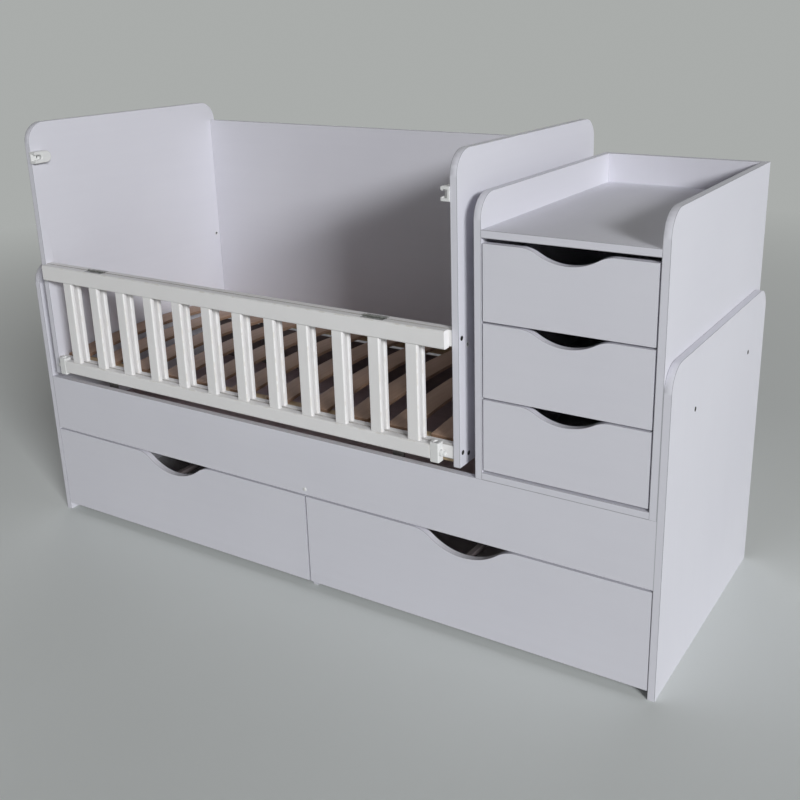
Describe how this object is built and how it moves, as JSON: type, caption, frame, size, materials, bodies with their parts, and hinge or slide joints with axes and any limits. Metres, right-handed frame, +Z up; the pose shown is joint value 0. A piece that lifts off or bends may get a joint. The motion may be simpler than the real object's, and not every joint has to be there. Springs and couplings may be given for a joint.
{
  "type": "convertible crib",
  "caption": "White convertible crib: a rocking crib box with a fold-down slatted gate and a changing dresser, on a long base with wide drawers that becomes a teen bed.",
  "frame": {"origin": "on the floor under the middle of the base, at the foot of its centre divider", "axes": "+X along the length towards the dresser, +Y from the gate towards the back, +Z up"},
  "size_m": [1.732, 0.677, 1.071],
  "materials": {
    "white_laminate": "satin white laminate on chipboard",
    "painted_wood": "satin warm white paint on solid wood",
    "plywood": "brown bent plywood",
    "hardboard": "thin pale board",
    "brown_board": "raw brown hardboard",
    "steel": "zinc-plated steel",
    "dark_steel": "dark steel",
    "white_plastic": "white moulded plastic"
  },
  "bodies": {
    "base": {"left_end_panel": "white_laminate", "right_end_panel": "white_laminate", "front_apron": "white_laminate", "back_apron": "white_laminate", "back_stretcher": "white_laminate", "deck_cleats": "painted_wood", "centre_divider": "white_laminate", "bed_deck": "brown_board", "base_drawer_rails": "steel", "dresser_left_side": "white_laminate", "dresser_right_side": "white_laminate", "dresser_bottom": "white_laminate", "dresser_tray": "white_laminate", "dresser_back": "white_laminate", "dresser_drawer_rails": "steel", "swing_brackets": "steel"},
    "front_left_link": {"front_left_link": "steel"},
    "back_left_link": {"back_left_link": "steel"},
    "front_right_link": {"front_right_link": "steel"},
    "back_right_link": {"back_right_link": "steel"},
    "crib_box": {"left_headboard": "white_laminate", "middle_headboard": "white_laminate", "crib_back_panel": "white_laminate", "slat_rails": "painted_wood", "slats": "plywood", "fixed_gate_rails": "painted_wood", "fixed_gate_balusters": "painted_wood", "hinge_fixed_leaves": "dark_steel", "hinge_pins": "dark_steel", "gate_catches": "white_plastic", "swing_hangers": "steel"},
    "folding_gate": {"folding_gate_top_rail": "painted_wood", "folding_gate_latch_rail": "painted_wood", "folding_gate_balusters": "painted_wood", "hinge_folding_leaves": "dark_steel", "latch_blocks": "white_plastic"},
    "left_latch": {"left_latch_pin": "white_plastic"},
    "right_latch": {"right_latch_pin": "white_plastic"},
    "left_base_drawer": {"left_base_drawer_front": "white_laminate", "left_base_drawer_walls": "white_laminate", "left_base_drawer_bottom": "hardboard", "left_base_drawer_runners": "steel"},
    "right_base_drawer": {"right_base_drawer_front": "white_laminate", "right_base_drawer_walls": "white_laminate", "right_base_drawer_bottom": "hardboard", "right_base_drawer_runners": "steel"},
    "bottom_dresser_drawer": {"bottom_dresser_drawer_front": "white_laminate", "bottom_dresser_drawer_walls": "white_laminate", "bottom_dresser_drawer_bottom": "hardboard", "bottom_dresser_drawer_runners": "steel"},
    "middle_dresser_drawer": {"middle_dresser_drawer_front": "white_laminate", "middle_dresser_drawer_walls": "white_laminate", "middle_dresser_drawer_bottom": "hardboard", "middle_dresser_drawer_runners": "steel"},
    "top_dresser_drawer": {"top_dresser_drawer_front": "white_laminate", "top_dresser_drawer_walls": "white_laminate", "top_dresser_drawer_bottom": "hardboard", "top_dresser_drawer_runners": "steel"}
  },
  "joints": [
    {"name": "crib_swing", "type": "hinge", "parent": "base", "child": "front_left_link", "pos_m": [-0.643, -0.303, 0.384], "axis": [0, 1, 0], "range_deg": [-14.5, 14.5]},
    {"name": "crib_level", "type": "hinge", "parent": "front_left_link", "child": "crib_box", "pos_m": [-0.643, -0.303, 0.29], "axis": [0, 1, 0], "range_deg": [-14.5, 14.5]},
    {"name": "back_left_link_swing", "type": "hinge", "parent": "base", "child": "back_left_link", "pos_m": [-0.643, 0.303, 0.384], "axis": [0, 1, 0], "range_deg": [-14.5, 14.5]},
    {"name": "front_right_link_swing", "type": "hinge", "parent": "base", "child": "front_right_link", "pos_m": [0.251, -0.303, 0.384], "axis": [0, 1, 0], "range_deg": [-14.5, 14.5]},
    {"name": "back_right_link_swing", "type": "hinge", "parent": "base", "child": "back_right_link", "pos_m": [0.251, 0.303, 0.384], "axis": [0, 1, 0], "range_deg": [-14.5, 14.5]},
    {"name": "gate_fold", "type": "hinge", "parent": "crib_box", "child": "folding_gate", "pos_m": [-0.196, -0.3315, 0.7165], "axis": [-1, 0, 0], "range_deg": [0, 180]},
    {"name": "left_latch_press", "type": "slide", "parent": "folding_gate", "child": "left_latch", "axis": [1, 0, 0], "range_m": [0, 0.008], "stiffness_N_per_m": 300},
    {"name": "right_latch_press", "type": "slide", "parent": "folding_gate", "child": "right_latch", "axis": [-1, 0, 0], "range_m": [0, 0.008], "stiffness_N_per_m": 300},
    {"name": "left_base_drawer_slide", "type": "slide", "parent": "base", "child": "left_base_drawer", "axis": [0, -1, 0], "range_m": [0, 0.4]},
    {"name": "right_base_drawer_slide", "type": "slide", "parent": "base", "child": "right_base_drawer", "axis": [0, -1, 0], "range_m": [0, 0.4]},
    {"name": "bottom_dresser_drawer_slide", "type": "slide", "parent": "base", "child": "bottom_dresser_drawer", "axis": [0, -1, 0], "range_m": [0, 0.36]},
    {"name": "middle_dresser_drawer_slide", "type": "slide", "parent": "base", "child": "middle_dresser_drawer", "axis": [0, -1, 0], "range_m": [0, 0.36]},
    {"name": "top_dresser_drawer_slide", "type": "slide", "parent": "base", "child": "top_dresser_drawer", "axis": [0, -1, 0], "range_m": [0, 0.36]}
  ],
  "couplings": [
    {"joint": "crib_level", "follows": "crib_swing", "ratio": -1},
    {"joint": "back_left_link_swing", "follows": "crib_swing", "ratio": 1},
    {"joint": "front_right_link_swing", "follows": "crib_swing", "ratio": 1},
    {"joint": "back_right_link_swing", "follows": "crib_swing", "ratio": 1}
  ]
}
